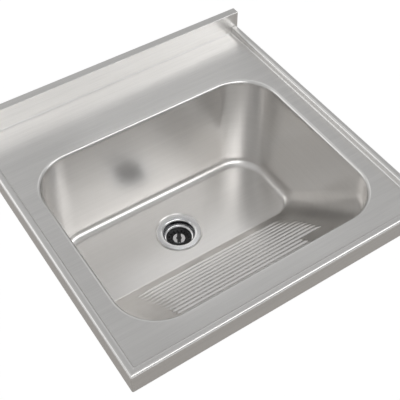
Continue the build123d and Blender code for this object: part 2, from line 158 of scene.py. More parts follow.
def finish_sheet(name, bm, material):
    """Gives a surface its sheet thickness behind it, and normals that keep flats flat."""
    merge_doubles(bm)
    piece = smooth_piece(name, bm, material)
    walls = piece.modifiers.new("walls", "SOLIDIFY")
    walls.thickness = sheet
    walls.offset = -1
    walls.use_even_offset = True
    flats = piece.modifiers.new("flats", "WEIGHTED_NORMAL")
    flats.keep_sharp = True
    flats.weight = 90
    return piece


# Where the bowl's outline has points, as (side, share along it): closest where the ribs end
outline_columns = [("back", i / 8) for i in range(8)]
outline_columns += [("back_left", i / 24) for i in range(24)]
outline_columns += [("left", i / 8) for i in range(8)]
outline_columns += [("front_left", i / 30) for i in range(30)]
left_rib_end = 0.055
short_rib_end = 0.875
outline_columns += [("front", 0), ("front", 0.02)]
outline_columns += [("front", left_rib_end + (i - 6) * 0.004) for i in range(15)]
outline_columns += [("front", share) for share in (0.15, 0.25, 0.35, 0.45, 0.55, 0.65, 0.75, 0.82)]
outline_columns += [("front", short_rib_end + (i - 8) * 0.004) for i in range(15)]
outline_columns += [("front", 0.93), ("front", 0.97)]
outline_columns += [("front_right", i / 84) for i in range(14)]
outline_columns += [("front_right", 1 / 6 + (5 / 6) * i / 22) for i in range(22)]
outline_columns += [("right", i / 8) for i in range(8)]
outline_columns += [("back_right", i / 24) for i in range(24)]


def bowl_outline(half, front, back, front_corner, back_corner):
    """The bowl's outline at one level, from the back edge's right end round by the left."""
    corners = {
        "back_left": ((-half + back_corner, back - back_corner), back_corner, 90),
        "front_left": ((-half + front_corner, front + front_corner), front_corner, 180),
        "front_right": ((half - front_corner, front + front_corner), front_corner, 270),
        "back_right": ((half - back_corner, back - back_corner), back_corner, 0),
    }
    sides = {
        "back": ((half - back_corner, back), (-half + back_corner, back)),
        "left": ((-half, back - back_corner), (-half, front + front_corner)),
        "front": ((-half + front_corner, front), (half - front_corner, front)),
        "right": ((half, front + front_corner), (half, back - back_corner)),
    }
    points = []
    for side, share in outline_columns:
        if side in corners:
            centre, radius, start = corners[side]
            turn = math.radians(start + 90 * share)
            points.append((centre[0] + radius * math.cos(turn), centre[1] + radius * math.sin(turn)))
        else:
            a, b = sides[side]
            points.append((a[0] + (b[0] - a[0]) * share, a[1] + (b[1] - a[1]) * share))
    return points


def worked_out(tree, operation, *given):
    """The answer to a sum or the like of sockets and plain numbers, in a node tree."""
    node = tree.nodes.new("ShaderNodeMath")
    node.operation = operation
    for place, value in zip(node.inputs, given):
        if isinstance(value, bpy.types.NodeSocket):
            tree.links.new(value, place)
        else:
            place.default_value = value
    return node.outputs[0]


def steel_finish(name, tint, roughness, streaks, anisotropy, relief_depth=0.0):
    """Brushed stainless steel: streaks along the grain in its colour, roughness and relief."""
    material = bpy.data.materials.new(name)
    material.use_nodes = True
    tree = material.node_tree
    shader = tree.nodes["Principled BSDF"]
    shader.inputs["Metallic"].default_value = 1.0
    shader.inputs["Anisotropic"].default_value = anisotropy
    shader.inputs["Anisotropic Rotation"].default_value = 0.25
    grain = tree.nodes.new("ShaderNodeUVMap")
    grain.uv_map = "grain"
    tangent = tree.nodes.new("ShaderNodeTangent")
    tangent.direction_type = "UV_MAP"
    tangent.uv_map = "grain"
    tree.links.new(tangent.outputs["Tangent"], shader.inputs["Tangent"])

    def streak(along, across, detail):
        """Noise drawn out along the brushing, in metres along and across it."""
        stretch = tree.nodes.new("ShaderNodeMapping")
        stretch.inputs["Scale"].default_value = (1 / along, 1 / across, 1)
        tree.links.new(grain.outputs["UV"], stretch.inputs["Vector"])
        noise = tree.nodes.new("ShaderNodeTexNoise")
        noise.noise_dimensions = "2D"
        noise.inputs["Scale"].default_value = 1.0
        noise.inputs["Detail"].default_value = detail
        tree.links.new(stretch.outputs["Vector"], noise.inputs["Vector"])
        return noise.outputs["Fac"]

    def between(value, low, high):
        """Spreads the middle of the noise's range, where nearly all of it lies, over two values."""
        spread = tree.nodes.new("ShaderNodeMapRange")
        spread.inputs["From Min"].default_value = 0.3
        spread.inputs["From Max"].default_value = 0.7
        spread.inputs["To Min"].default_value = low
        spread.inputs["To Max"].default_value = high
        tree.links.new(value, spread.inputs["Value"])
        return spread.outputs["Result"]

    fine = streak(along=0.06, across=0.0006, detail=3)
    broad = streak(along=0.5, across=0.009, detail=2)
    broad_part = worked_out(tree, "MULTIPLY", broad, 0.4)
    mixed = worked_out(tree, "MULTIPLY_ADD", fine, 0.6, broad_part)
    shade = tree.nodes.new("ShaderNodeMix")
    shade.data_type = "RGBA"
    shade.inputs["A"].default_value = (*[c * (1 - streaks) for c in tint], 1)
    shade.inputs["B"].default_value = (*[c * (1 + streaks) for c in tint], 1)
    tree.links.new(between(mixed, 0, 1), shade.inputs["Factor"])
    tree.links.new(shade.outputs["Result"], shader.inputs["Base Color"])
    rough = between(mixed, roughness * 1.03, roughness * 0.97)
    tree.links.new(rough, shader.inputs["Roughness"])
    if relief_depth:
        relief = tree.nodes.new("ShaderNodeBump")
        relief.inputs["Strength"].default_value = 1.0
        relief.inputs["Distance"].default_value = relief_depth
        tree.links.new(fine, relief.inputs["Height"])
        tree.links.new(relief.outputs["Normal"], shader.inputs["Normal"])
    return material


# A roughness under about 0.28 lets the render's noise filter draw specks on the washboard
satin = 0.29
top_steel = steel_finish(
    "satin_steel_top",
    tint=(0.70, 0.692, 0.680),
    roughness=satin,
    streaks=0.065,
    anisotropy=0.55,
    relief_depth=0.000003,
)

# The border in section, as (distance in from the edge, height), from the skirt's lip to the deck
border = [(lip_width, deck_low.z)]
border += arc((fold_radius, deck_low.z + fold_radius), fold_radius, 270, 180, 4)
border += arc((bead_outer, border_top - bead_outer), bead_outer, 180, 90, 10)
border += arc((border_width - bead_inner, border_top - bead_inner), bead_inner, 90, 0, 10)
foot_centre = (border_width + bead_foot, deck_z + bead_foot)
border += arc(foot_centre, bead_foot, 180, 270, 8)


def border_station(d, kind, value):
    """Plan place of a border point set in by d: along a side, or round a front corner."""
    radius = max(outer_edge_radius - d, 0, d - inner_corner_start)
    if kind in ("left", "right"):
        place = (-half_width + d, value)
    else:
        turn = math.radians(180 + 90 * value)
        centre = (-half_width + d + radius, deck_low.y + d + radius)
        place = (centre[0] + radius * math.cos(turn), centre[1] + radius * math.sin(turn))
    return place if kind in ("left", "corner_left") else (-place[0], place[1])


stations = [("left", upstand_face), ("left", cove_start)]
stations += [("corner_left", i / 8) for i in range(9)]
stations += [("corner_right", 1 - i / 8) for i in range(9)]
stations += [("right", cove_start), ("right", upstand_face)]
border_rows = [[(*border_station(d, *s), z) for s in stations] for d, z in border]
border_across = running_length(border)
border_along = running_length([(x, y) for x, y, z in border_rows[len(border) // 2]])

deck_bm = bmesh.new()
deck_bm.loops.layers.uv.new("grain")
# Each strip lies a metre further across the brushing, so that no two share their streaks
border_made = add_strip(
    deck_bm, border_rows, lambda a, b: (border_along[b], border_across[a] + 1.0)
)
# Without its ends, which stand under the upstand's cove, the border's foot edges the flat deck
border_foot = border_made[-1][1:-1]
rim_section = arc((rim_radius, -rim_radius), rim_radius, 90, 180, 12)
rim_rows = []
for out, drop in rim_section:
    level = bowl_outline(
        bowl_half + out, bowl_front - out, bowl_back + out, bowl_corner + out, bowl_corner + out
    )
    rim_rows.append([(x, y, deck_z + drop) for x, y in level])
rim_along = running_length([Vector(p) for p in rim_rows[0] + rim_rows[0][:1]])
rim_across = running_length(rim_section)
rim = add_strip(deck_bm, rim_rows, lambda a, b: (rim_along[b], rim_across[a] + 2.0), closed=True)
fill_flat(deck_bm, [border_foot, rim[0]])
# The upstand in section, as (y, height), from its cove up and over to the wall
upstand = arc((cove_start, deck_z + cove), cove, 270, 360, 8)
upstand += arc((upstand_face + fold_radius, deck_high.z - fold_radius), fold_radius, 180, 90, 5)
upstand += arc((-fold_radius, deck_high.z - fold_radius), fold_radius, 90, 0, 4)
upstand += [(0, deck_high.z - upstand_hem)]
upstand_rows = [[(-half_width, y, z), (half_width, y, z)] for y, z in upstand]
upstand_across = running_length(upstand)
# The cove runs from border to border and ends a millimetre inside them
cove_reach = half_width - border_width + 0.001
for row, (y, z) in zip(upstand_rows, upstand):
    if y < upstand_face - 1e-6:
        row[0] = (-cove_reach, y, z)
        row[1] = (cove_reach, y, z)
add_strip(
    deck_bm, upstand_rows, lambda a, b: (b * 2 * half_width, 3.0 + upstand_across[a])
)
# A plate closes each end of the upstand
grain_uv = deck_bm.loops.layers.uv["grain"]
for side in (-1, 1):
    end = [(y, z) for y, z in upstand if y > upstand_face - 1e-6 and z > deck_z + cove - 1e-6]
    end += [(0, deck_low.z), (upstand_face, deck_low.z)]
    corners = [deck_bm.verts.new((side * half_width, y, z)) for y, z in end]
    plate = deck_bm.faces.new(corners if side < 0 else corners[::-1])
    for loop in plate.loops:
        loop[grain_uv].uv = (loop.vert.co.y, loop.vert.co.z + 4.0)
deck_piece = finish_sheet("deck_sheet", deck_bm, top_steel)
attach(deck_piece, "sink")
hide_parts("deck")

# Bowl: one deep drawing of the same sheet, its front wall a sloped washboard with pressed ribs, its
# floor sunk round the drain. It is welded to the rolled rim and ground flush, so no seam shows.
bowl_depth = 0.23
floor_z = deck_z - bowl_depth
draft_degrees = 1.5
wall_draft = math.tan(math.radians(draft_degrees))
floor_corner = 0.072
front_floor_corner = 0.05
smallest_corner = 0.02
floor_radius = 0.018
turn_drop = 0.05
turn_radius = 0.03
foot_radius = 0.008
slope_foot = Vector((0, -0.3254, floor_z))
slope_top = Vector((0, bowl_front + turn_drop * wall_draft, deck_z - turn_drop))
up_slope = (slope_top - slope_foot).normalized()
off_slope = Vector((0, up_slope.z, -up_slope.y))
slope_angle = math.atan2(up_slope.z, -up_slope.y)
rib_count = 12
short_ribs = 3
rib_pitch = 0.0172
first_rib = 0.0375
rib_half = 0.00625
rib_height = 0.0032
rib_left = -0.152
rib_right = 0.179
short_rib_right = 0.129
rib_arc = (rib_half**2 + rib_height**2) / (2 * rib_height)
rib_sunk = rib_arc - rib_height


def rolled(depth, corner_depth, corner_y, above, below, radius):
    """Where the front stands on the roll between two straight runs, or None off the roll."""
    bend = abs(above - below)
    reach = radius * math.tan(bend / 2)
    start = corner_depth - reach * math.sin(above)
    end = corner_depth + reach * math.sin(below)
    if not start < depth < end:
        return None
    start_y = corner_y - reach * math.cos(above)
    # The centre stands off the first run at a right angle, on the bowl's side
    centre_depth = start - radius * math.cos(above)
    centre_y = start_y + radius * math.sin(above)
    return centre_y - math.sqrt(radius**2 - (depth - centre_depth) ** 2)


def front_at(depth):
    """Where the front wall or the washboard stands at a depth below the deck."""
    wall_angle = math.radians(90 - draft_degrees)
    on_roll = rolled(depth, turn_drop, slope_top.y, wall_angle, slope_angle, turn_radius)
    if on_roll is not None:
        return on_roll
    if depth < turn_drop:
        return bowl_front + depth * wall_draft
    reach = foot_radius * math.tan(slope_angle / 2)
    foot_start = bowl_depth - reach * math.sin(slope_angle)
    if depth > foot_start:
        centre_y = slope_foot.y + reach
        centre_depth = bowl_depth - foot_radius
        return centre_y - math.sqrt(max(foot_radius**2 - (depth - centre_depth) ** 2, 0))
    return slope_foot.y - (bowl_depth - depth) / math.tan(slope_angle)


def bowl_level(depth):
    """One row of the bowl's inside, at a depth below the deck."""
    into_floor = max(depth - (bowl_depth - floor_radius), 0)
    inset = floor_radius - math.sqrt(max(floor_radius**2 - into_floor**2, 0))
    draft = (depth - rim_radius) * wall_draft
    share = (depth - rim_radius) / (bowl_depth - rim_radius)
    corner = bowl_corner + (floor_corner - bowl_corner) * share - inset
    outline = bowl_outline(
        bowl_half - draft - inset,
        front_at(depth),
        bowl_back - draft - inset,
        max(bowl_corner + (front_floor_corner - bowl_corner) * share - inset, smallest_corner),
        corner,
    )
    return [ribbed(Vector((x, y, deck_z - depth))) for x, y in outline]


def ribbed(place):
    """Lifts a point of the washboard on to the rib that stands there."""
    from_foot = place - slope_foot
    height = from_foot.dot(off_slope)
    along = from_foot.dot(up_slope)
    row = round((along - first_rib) / rib_pitch)
    if height > rib_height or not 0 <= row < rib_count:
        return place
    right = short_rib_right if row >= rib_count - short_ribs else rib_right
    past_end = max(rib_left + rib_half - place.x, place.x - right + rib_half, 0)
    from_crest = math.hypot(along - first_rib - row * rib_pitch, past_end)
    if from_crest >= rib_half:
        return place
    lifted = math.sqrt(rib_arc**2 - from_crest**2) - rib_sunk
    return place + off_slope * max(lifted - height, 0)


# The depths of the bowl's rows: down the wall, round the roll, over each rib and into the floor
depths = [rim_radius, 0.014, 0.024, 0.032]
depths += [0.036 + 0.0016 * i for i in range(16)]
rib_side = (0.0020, 0.0038, 0.0052, 0.0060, rib_half)
rib_steps = [-rib_pitch / 2] + [-step for step in rib_side] + [0] + list(rib_side)
for row in range(rib_count):
    for step in rib_steps:
        along = first_rib + row * rib_pitch + step
        depths.append(bowl_depth - along * math.sin(slope_angle))
for i in range(13):
    turn = math.radians(90 * i / 12)
    depths.append(bowl_depth - floor_radius + floor_radius * math.sin(turn))
depths = sorted(set(round(d, 6) for d in depths))
closest_rows = 0.00012
depths = [a for a, b in zip(depths, depths[1:]) if b - a > closest_rows] + depths[-1:]
bowl_rows = [bowl_level(d) for d in depths]
bowl_across = running_length([row[0] for row in bowl_rows])
bowl_along = running_length(bowl_rows[0] + bowl_rows[0][:1])
bowl_bm = bmesh.new()
bowl_bm.loops.layers.uv.new("grain")
levels = add_strip(
    bowl_bm, bowl_rows, lambda a, b: (bowl_along[b], 5.0 + bowl_across[a]), closed=True
)

strainer_low, strainer_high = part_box("strainer_body")
drain = (0, (strainer_low.y + strainer_high.y) / 2)


def about_drain(radius, height, steps):
    """Points of a level circle round the drain, at a height above the bowl's floor."""
    turns = [2 * math.pi * i / steps for i in range(steps)]
    x, y = drain
    return [(x + radius * math.cos(a), y + radius * math.sin(a), floor_z + height) for a in turns]


# The recess that the drain's flange lies in, as (radius, height above the floor)
dish = [(0.0494, 0), (0.0489, -0.0001), (0.0483, -0.0005), (0.0473, -0.0014), (0.0467, -0.0018)]
dish += [(0.0461, -0.002), (0.035, -0.002)]
dish_steps = 96
dish_rows = [about_drain(radius, height, dish_steps) for radius, height in dish]
dish_made = add_strip(
    bowl_bm,
    dish_rows,
    lambda a, b: (dish[a][0] * 2 * math.pi * b / dish_steps, 6.0 + dish[a][0]),
    closed=True,
)
fill_flat(bowl_bm, [levels[-1], dish_made[0]])
bowl_steel = steel_finish(
    "satin_steel_bowl",
    tint=(0.71, 0.698, 0.683),
    roughness=satin,
    streaks=0.03,
    anisotropy=0.3,
)
bowl_piece = finish_sheet("bowl_drawing", bowl_bm, bowl_steel)
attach(bowl_piece, "sink")
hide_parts("bowl")

# Drain body: flange, cup, coved seat and threaded neck drawn and turned from one piece of stainless
# steel, then polished. It drops through the bowl's hole on to a soft ring.
cup_radius = 0.031
flange_edge = 0.045
flange_top = 0.0002
flange_bottom = -0.0019
flange_roll = 0.007
roll_centre = (cup_radius + flange_roll, flange_top - flange_roll)
seat_cove = 0.0045
seat_centre = (cup_radius - seat_cove, -0.013)
cup_bottom = -0.0373
cup_foot = 0.0275
neck_inside = 0.0215
neck_outside = 0.0235
neck_end = -0.066


def eased(outline, radius):
    """A closed outline with its sharp corners rounded, and points on the axis left alone."""
    rounded = []
    for before, corner, after in zip(
        outline[-1:] + outline[:-1], outline, outline[1:] + outline[:1]
    ):
        here = Vector(corner)
        back = Vector(before) - here
        ahead = Vector(after) - here
        bend = math.pi - back.angle(ahead)
        if bend < math.radians(30) or corner[0] == 0:
            rounded.append(tuple(here))
            continue
        cut = min(radius * math.tan(bend / 2), 0.45 * back.length, 0.45 * ahead.length)
        start = here + back.normalized() * cut
        end = here + ahead.normalized() * cut
        for share in (0, 1 / 3, 2 / 3, 1):
            middle = 2 * share * (1 - share)
            rounded.append(tuple(start * (1 - share) ** 2 + here * middle + end * share**2))
    return rounded


def turned(outline, steps=96):
    """A closed outline of (radius, height above the bowl's floor) turned about the drain."""
    bm = bmesh.new()
    bm.loops.layers.uv.new("grain")
    closed_line = outline + outline[:1]
    rows = [about_drain(radius, height, steps) for radius, height in closed_line]
    across = running_length(closed_line)
    round_length = 0.2
    add_strip(bm, rows, lambda a, b: (round_length * b / steps, across[a]), closed=True)
    merge_doubles(bm)
    bmesh.ops.recalc_face_normals(bm, faces=bm.faces)
    return bm


def finish_solid(name, bm, material):
    """Turns a closed shell into a piece whose flats stay flat and whose curves run smooth."""
    piece = smooth_piece(name, bm, material)
    flats = piece.modifiers.new("flats", "WEIGHTED_NORMAL")
    flats.keep_sharp = True
    return piece


def screw_thread(outer, root, top, bottom, rings):
    """The thread's ridges in section, from the bottom up."""
    pitch = (top - bottom) / rings
    line = []
    for i in range(rings):
        line += [(root, top - i * pitch), (outer, top - (i + 0.35) * pitch)]
        line += [(outer, top - (i + 0.65) * pitch)]
    line.append((root, bottom))
    return line[::-1]


polished_steel = steel_finish(
    "polished_drain_steel",
    tint=(0.70, 0.705, 0.715),
    roughness=0.17,
    streaks=0.02,
    anisotropy=0.35,
)
# Painted shade: the cup's upright wall is painted nearly black between its roll and its cove, for
# the shade and the dark reflections deep in the cup, so the mask is 1 there
upper_fade = (-0.0055, -0.003, 1, 0)
lower_fade = (-0.0135, -0.0115, 0, 1)
steel_tree = polished_steel.node_tree
steel_place = steel_tree.nodes.new("ShaderNodeTexCoord")
steel_height = steel_tree.nodes.new("ShaderNodeSeparateXYZ")
steel_tree.links.new(steel_place.outputs["Object"], steel_height.inputs[0])
fades = []
for low, high, at_low, at_high in (upper_fade, lower_fade):
    fade = steel_tree.nodes.new("ShaderNodeMapRange")
    fade.interpolation_type = "SMOOTHSTEP"
    fade.inputs["From Min"].default_value = floor_z + low
    fade.inputs["From Max"].default_value = floor_z + high
    fade.inputs["To Min"].default_value = at_low
    fade.inputs["To Max"].default_value = at_high
    steel_tree.links.new(steel_height.outputs["Z"], fade.inputs["Value"])
    fades.append(fade.outputs["Result"])
painted_shade_mask = worked_out(steel_tree, "MULTIPLY", *fades)
steel_shader = steel_tree.nodes["Principled BSDF"]
plain_steel = steel_shader.inputs["Base Color"].links[0].from_socket
# Painted shade: a dark grey mixed into the steel's colour on the cup's wall
painted_shade_wall = steel_tree.nodes.new("ShaderNodeMix")
painted_shade_wall.data_type = "RGBA"
painted_shade_wall.inputs["B"].default_value = (0.13, 0.135, 0.15, 1)
steel_tree.links.new(painted_shade_mask, painted_shade_wall.inputs["Factor"])
steel_tree.links.new(plain_steel, painted_shade_wall.inputs["A"])
steel_tree.links.new(painted_shade_wall.outputs["Result"], steel_shader.inputs["Base Color"])
# In section, as (radius, height): over the flange, down the inside, and back up the outside
body_line = [(flange_edge, flange_bottom)]
body_line += arc((flange_edge - sheet, flange_top - sheet), sheet, 0, 90, 5)
body_line += arc(roll_centre, flange_roll, 90, 180, 16)
body_line += arc(seat_centre, seat_cove, 0, -90, 10)
body_line += [(seat_centre[0], cup_bottom), (neck_inside, cup_bottom), (neck_inside, neck_end)]
body_line += screw_thread(outer=neck_outside, root=0.0228, top=-0.048, bottom=-0.0655, rings=7)
body_line += [(neck_outside, cup_bottom - sheet), (cup_foot, cup_bottom - sheet)]
body_line += [(cup_foot, -0.01841)]
body_line += arc(seat_centre, seat_cove + sheet, -79.5, -12, 6)
body_line += screw_thread(outer=0.033, root=0.0322, top=-0.0068, bottom=-0.0128, rings=5)
body_line += arc(roll_centre, flange_roll - sheet, 178, 92, 10)
body_line += [(flange_edge - sheet, flange_top - sheet), (flange_edge - sheet, flange_bottom)]
drain_body = finish_solid("drain_body", turned(eased(body_line, 0.0004), 128), polished_steel)
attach(drain_body, "sink")
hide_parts("strainer_body")

# Rings and lock nut: a soft ring seals the flange, and under the bowl a rubber washer, a fibre ring
# and a black moulded nut clamp the drain. The nut's eight lugs take a spanner.
bowl_underside = -0.003
washer_bottom = -0.0055
nut_top = -0.0063
nut_bottom = -0.014
clamp_inside = 0.0335


def mottled(name, dark, light, roughness, grain_size, relief_depth, metallic=0.0):
    """A finish with a fine cloudy variation in its colour, gloss and surface."""
    material = bpy.data.materials.new(name)
    material.use_nodes = True
    tree = material.node_tree
    shader = tree.nodes["Principled BSDF"]
    shader.inputs["Metallic"].default_value = metallic
    place = tree.nodes.new("ShaderNodeTexCoord")
    cloud = tree.nodes.new("ShaderNodeTexNoise")
    cloud.inputs["Scale"].default_value = 1 / grain_size
    cloud.inputs["Detail"].default_value = 4
    tree.links.new(place.outputs["Object"], cloud.inputs["Vector"])
    shade = tree.nodes.new("ShaderNodeMix")
    shade.data_type = "RGBA"
    shade.inputs["A"].default_value = (*dark, 1)
    shade.inputs["B"].default_value = (*light, 1)
    tree.links.new(cloud.outputs["Fac"], shade.inputs["Factor"])
    tree.links.new(shade.outputs["Result"], shader.inputs["Base Color"])
    gloss = tree.nodes.new("ShaderNodeMapRange")
    gloss.inputs["To Min"].default_value = roughness * 0.85
    gloss.inputs["To Max"].default_value = roughness * 1.15
    tree.links.new(cloud.outputs["Fac"], gloss.inputs["Value"])
    tree.links.new(gloss.outputs["Result"], shader.inputs["Roughness"])
    pores = tree.nodes.new("ShaderNodeTexNoise")
    pores.inputs["Scale"].default_value = 6 / grain_size
    pores.inputs["Detail"].default_value = 2
    tree.links.new(place.outputs["Object"], pores.inputs["Vector"])
    relief = tree.nodes.new("ShaderNodeBump")
    relief.inputs["Distance"].default_value = relief_depth
    tree.links.new(pores.outputs["Fac"], relief.inputs["Height"])
    tree.links.new(relief.outputs["Normal"], shader.inputs["Normal"])
    return material


def ring(name, material, inner, outer, low, high, ease=0.0003):
    """A plain ring with rounded edges, between two radii and two heights above the floor."""
    section = eased([(inner, low), (outer, low), (outer, high), (inner, high)], ease)
    return finish_solid(name, turned(section), material)


soft_white = mottled(
    "soft_white_ring",
    dark=(0.72, 0.70, 0.66),
    light=(0.80, 0.79, 0.75),
    roughness=0.6,
    grain_size=0.006,
    relief_depth=0.00002,
)
black_rubber = mottled(
    "black_rubber",
    dark=(0.018, 0.018, 0.019),
    light=(0.03, 0.03, 0.031),
    roughness=0.7,
    grain_size=0.004,
    relief_depth=0.00003,
)
fibre = mottled(
    "red_fibre",
    dark=(0.24, 0.07, 0.05),
    light=(0.36, 0.13, 0.09),
    roughness=0.8,
    grain_size=0.002,
    relief_depth=0.00003,
)
black_plastic = mottled(
    "moulded_black",
    dark=(0.010, 0.010, 0.011),
    light=(0.022, 0.022, 0.024),
    roughness=0.38,
    grain_size=0.003,
    relief_depth=0.00001,
)
flange_seal = ring("flange_seal_ring", soft_white, 0.0385, 0.0435, -0.002, flange_top - sheet)
washer = ring(
    "rubber_washer", black_rubber, clamp_inside, 0.046, washer_bottom, bowl_underside, ease=0.0006
)
slip_ring = ring("fibre_ring", fibre, clamp_inside, 0.042, nut_top, washer_bottom, ease=0.0001)
for piece, node, slot in (
    (flange_seal, "flange_seal", "soft_white"),
    (washer, "under_washer", "black_rubber"),
    (slip_ring, "friction_ring", "fibre"),
):
    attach(piece, "sink")
    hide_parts(node)


def shape_from(name, bm):
    """An object of a mesh that has no material yet."""
    mesh = bpy.data.meshes.new(name)
    bm.to_mesh(mesh)
    bm.free()
    return new_piece(name, mesh)


def block(name, low, high, ease):
    """A rounded block between two corners, measured from the drain's axis and the bowl's floor."""
    bm = bmesh.new()
    xs, ys, zs = zip(low, high)
    points = [bm.verts.new((x, y, z)) for x in xs for y in ys for z in zs]
    sides = ((0, 1, 3, 2), (4, 6, 7, 5), (0, 4, 5, 1), (2, 3, 7, 6), (0, 2, 6, 4), (1, 5, 7, 3))
    for side in sides:
        bm.faces.new([points[i] for i in side])
    bmesh.ops.recalc_face_normals(bm, faces=bm.faces)
    bmesh.ops.bevel(bm, geom=bm.edges[:], offset=ease, segments=2, affect="EDGES", profile=0.5)
    return shape_from(name, bm)


def round_tree(operation):
    """Node tree that joins or cuts a shape a number of times round an upright axis."""
    tree = bpy.data.node_groups.new("round_" + operation.lower(), "GeometryNodeTree")
    kinds = {
        "Geometry": "NodeSocketGeometry",
        "Shape": "NodeSocketObject",
        "Count": "NodeSocketInt",
        "Axis": "NodeSocketVector",
        "Material": "NodeSocketMaterial",
    }
    for name, kind in kinds.items():
        tree.interface.new_socket(name, in_out="INPUT", socket_type=kind)
    tree.interface.new_socket("Geometry", in_out="OUTPUT", socket_type="NodeSocketGeometry")
    given = tree.nodes.new("NodeGroupInput")
    result = tree.nodes.new("NodeGroupOutput")
    shape = tree.nodes.new("GeometryNodeObjectInfo")
    tree.links.new(given.outputs["Shape"], shape.inputs["Object"])
    places = tree.nodes.new("GeometryNodeMeshLine")
    tree.links.new(given.outputs["Count"], places.inputs["Count"])
    tree.links.new(given.outputs["Axis"], places.inputs["Start Location"])
    places.inputs["Offset"].default_value = (0, 0, 0)
    number = tree.nodes.new("GeometryNodeInputIndex")
    share = worked_out(tree, "DIVIDE", number.outputs[0], given.outputs["Count"])
    turn = worked_out(tree, "MULTIPLY", share, 2 * math.pi)
    about = tree.nodes.new("ShaderNodeCombineXYZ")
    tree.links.new(turn, about.inputs["Z"])
    copies = tree.nodes.new("GeometryNodeInstanceOnPoints")
    tree.links.new(places.outputs["Mesh"], copies.inputs["Points"])
    tree.links.new(shape.outputs["Geometry"], copies.inputs["Instance"])
    tree.links.new(about.outputs[0], copies.inputs["Rotation"])
    real = tree.nodes.new("GeometryNodeRealizeInstances")
    tree.links.new(copies.outputs[0], real.inputs[0])
    joined = tree.nodes.new("GeometryNodeMeshBoolean")
    joined.operation = operation
    joined.solver = "EXACT"
    # A union takes all its meshes at one input
    blank_input = "Mesh 1" if operation == "DIFFERENCE" else "Mesh 2"
    tree.links.new(given.outputs["Geometry"], joined.inputs[blank_input])
    tree.links.new(real.outputs[0], joined.inputs["Mesh 2"])
    coated = tree.nodes.new("GeometryNodeSetMaterial")
    tree.links.new(joined.outputs["Mesh"], coated.inputs["Geometry"])
    tree.links.new(given.outputs["Material"], coated.inputs["Material"])
    tree.links.new(coated.outputs[0], result.inputs[0])
    return tree


round_trees = {name: round_tree(name) for name in ("UNION", "DIFFERENCE")}


def worked(name, bm, material, steps):
    """A turned blank with shapes joined to it or cut from it round its axis, as one closed mesh."""
    blank = shape_from(name + "_blank", bm)
    for operation, shape, count in steps:
        step = blank.modifiers.new("step", "NODES")
        step.node_group = round_trees[operation]
        values = {"Shape": shape, "Count": count, "Axis": (*drain, floor_z), "Material": material}
        for socket in step.node_group.interface.items_tree:
            if socket.in_out == "INPUT" and socket.name in values:
                step[socket.identifier] = values[socket.name]
    made = blank.evaluated_get(bpy.context.evaluated_depsgraph_get())
    mesh = bpy.data.meshes.new_from_object(made)
    bpy.data.objects.remove(blank)
    for _, shape, _ in steps:
        bpy.data.objects.remove(shape)
    result = bmesh.new()
    result.from_mesh(mesh)
    bpy.data.meshes.remove(mesh)
    merge_doubles(result)
    return finish_solid(name, result, material)


nut_line = [(0.0331, nut_bottom), (0.042, nut_bottom), (0.042, nut_top), (0.0331, nut_top)]
nut_blank = turned(eased(nut_line, 0.0006), 64)
lug = block("lug", (0.040, -0.005, nut_bottom), (0.046, 0.005, nut_top), ease=0.0006)
lock_nut = worked("lock_nut_with_lugs", nut_blank, black_plastic, [("UNION", lug, 8)])
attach(lock_nut, "sink")
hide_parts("lock_nut")

# Waste tube: a white moulded tube with a flange, drawn up to the drain's neck by a ribbed slip nut
# on a soft washer.
white_plastic = mottled(
    "moulded_white",
    dark=(0.78, 0.78, 0.77),
    light=(0.83, 0.83, 0.82),
    roughness=0.35,
    grain_size=0.02,
    relief_depth=0.000006,
)
tube_inside = 0.0185
tube_flange = 0.023
tube_top = -0.0685
flange_under = -0.0705
tube_end = -0.135
tail_washer = ring("tail_ring", soft_white, tube_inside, tube_flange, tube_top, neck_end)
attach(tail_washer, "sink")
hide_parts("tail_washer")
tube_line = [(tube_inside, tube_end), (0.020, tube_end), (0.020, -0.075), (0.021, -0.0748)]
tube_line += [(0.021, flange_under), (tube_flange, flange_under)]
tube_line += [(tube_flange, tube_top), (tube_inside, tube_top)]
waste_tube = finish_solid("waste_tube", turned(eased(tube_line, 0.0003)), white_plastic)
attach(waste_tube, "sink")
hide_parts("tailpiece")
slip_low = -0.074
slip_high = -0.050
slip_line = [(0.0211, slip_low), (0.029, slip_low), (0.029, slip_high), (0.0236, slip_high)]
slip_line += [(0.0236, flange_under), (0.0211, flange_under)]
slip_blank = turned(eased(slip_line, 0.0007), 72)
grip = block("grip", (0.027, -0.002, slip_low), (0.0305, 0.002, slip_high), ease=0.0006)
slip_nut = worked("slip_nut_with_grips", slip_blank, white_plastic, [("UNION", grip, 12)])
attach(slip_nut, "sink")
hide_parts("slip_nut")

# Basket: a black moulded strainer that lifts out, pierced on top and slotted round its side, with a
# bright ring pressed on its post and a rubber disc screwed under it to close the drain.
basket_top = -0.0235
rim_under = -0.0255
basket_bottom = -0.0345
post_top = -0.021
post_radius = 0.0058
screw_hole = 0.0023
hole_end = -0.0279


def rod(name, radius, from_axis, low, high):
    """An upright rod to pierce a hole with, its centre at a distance from the drain's axis."""
    bm = bmesh.new()
    bmesh.ops.create_cone(
        bm, cap_ends=True, segments=20, radius1=radius, radius2=radius, depth=high - low
    )
    bmesh.ops.translate(bm, verts=bm.verts, vec=(from_axis, 0, (low + high) / 2))
    return shape_from(name, bm)


basket_line = [(screw_hole, basket_bottom), (0.0245, basket_bottom), (0.0245, rim_under)]
basket_line += [(0.026, rim_under), (0.026, basket_top), (post_radius, basket_top)]
basket_line += [(post_radius, post_top), (0.0, post_top), (0.0, hole_end), (screw_hole, hole_end)]
basket_bm = turned(eased(basket_line, 0.0005))
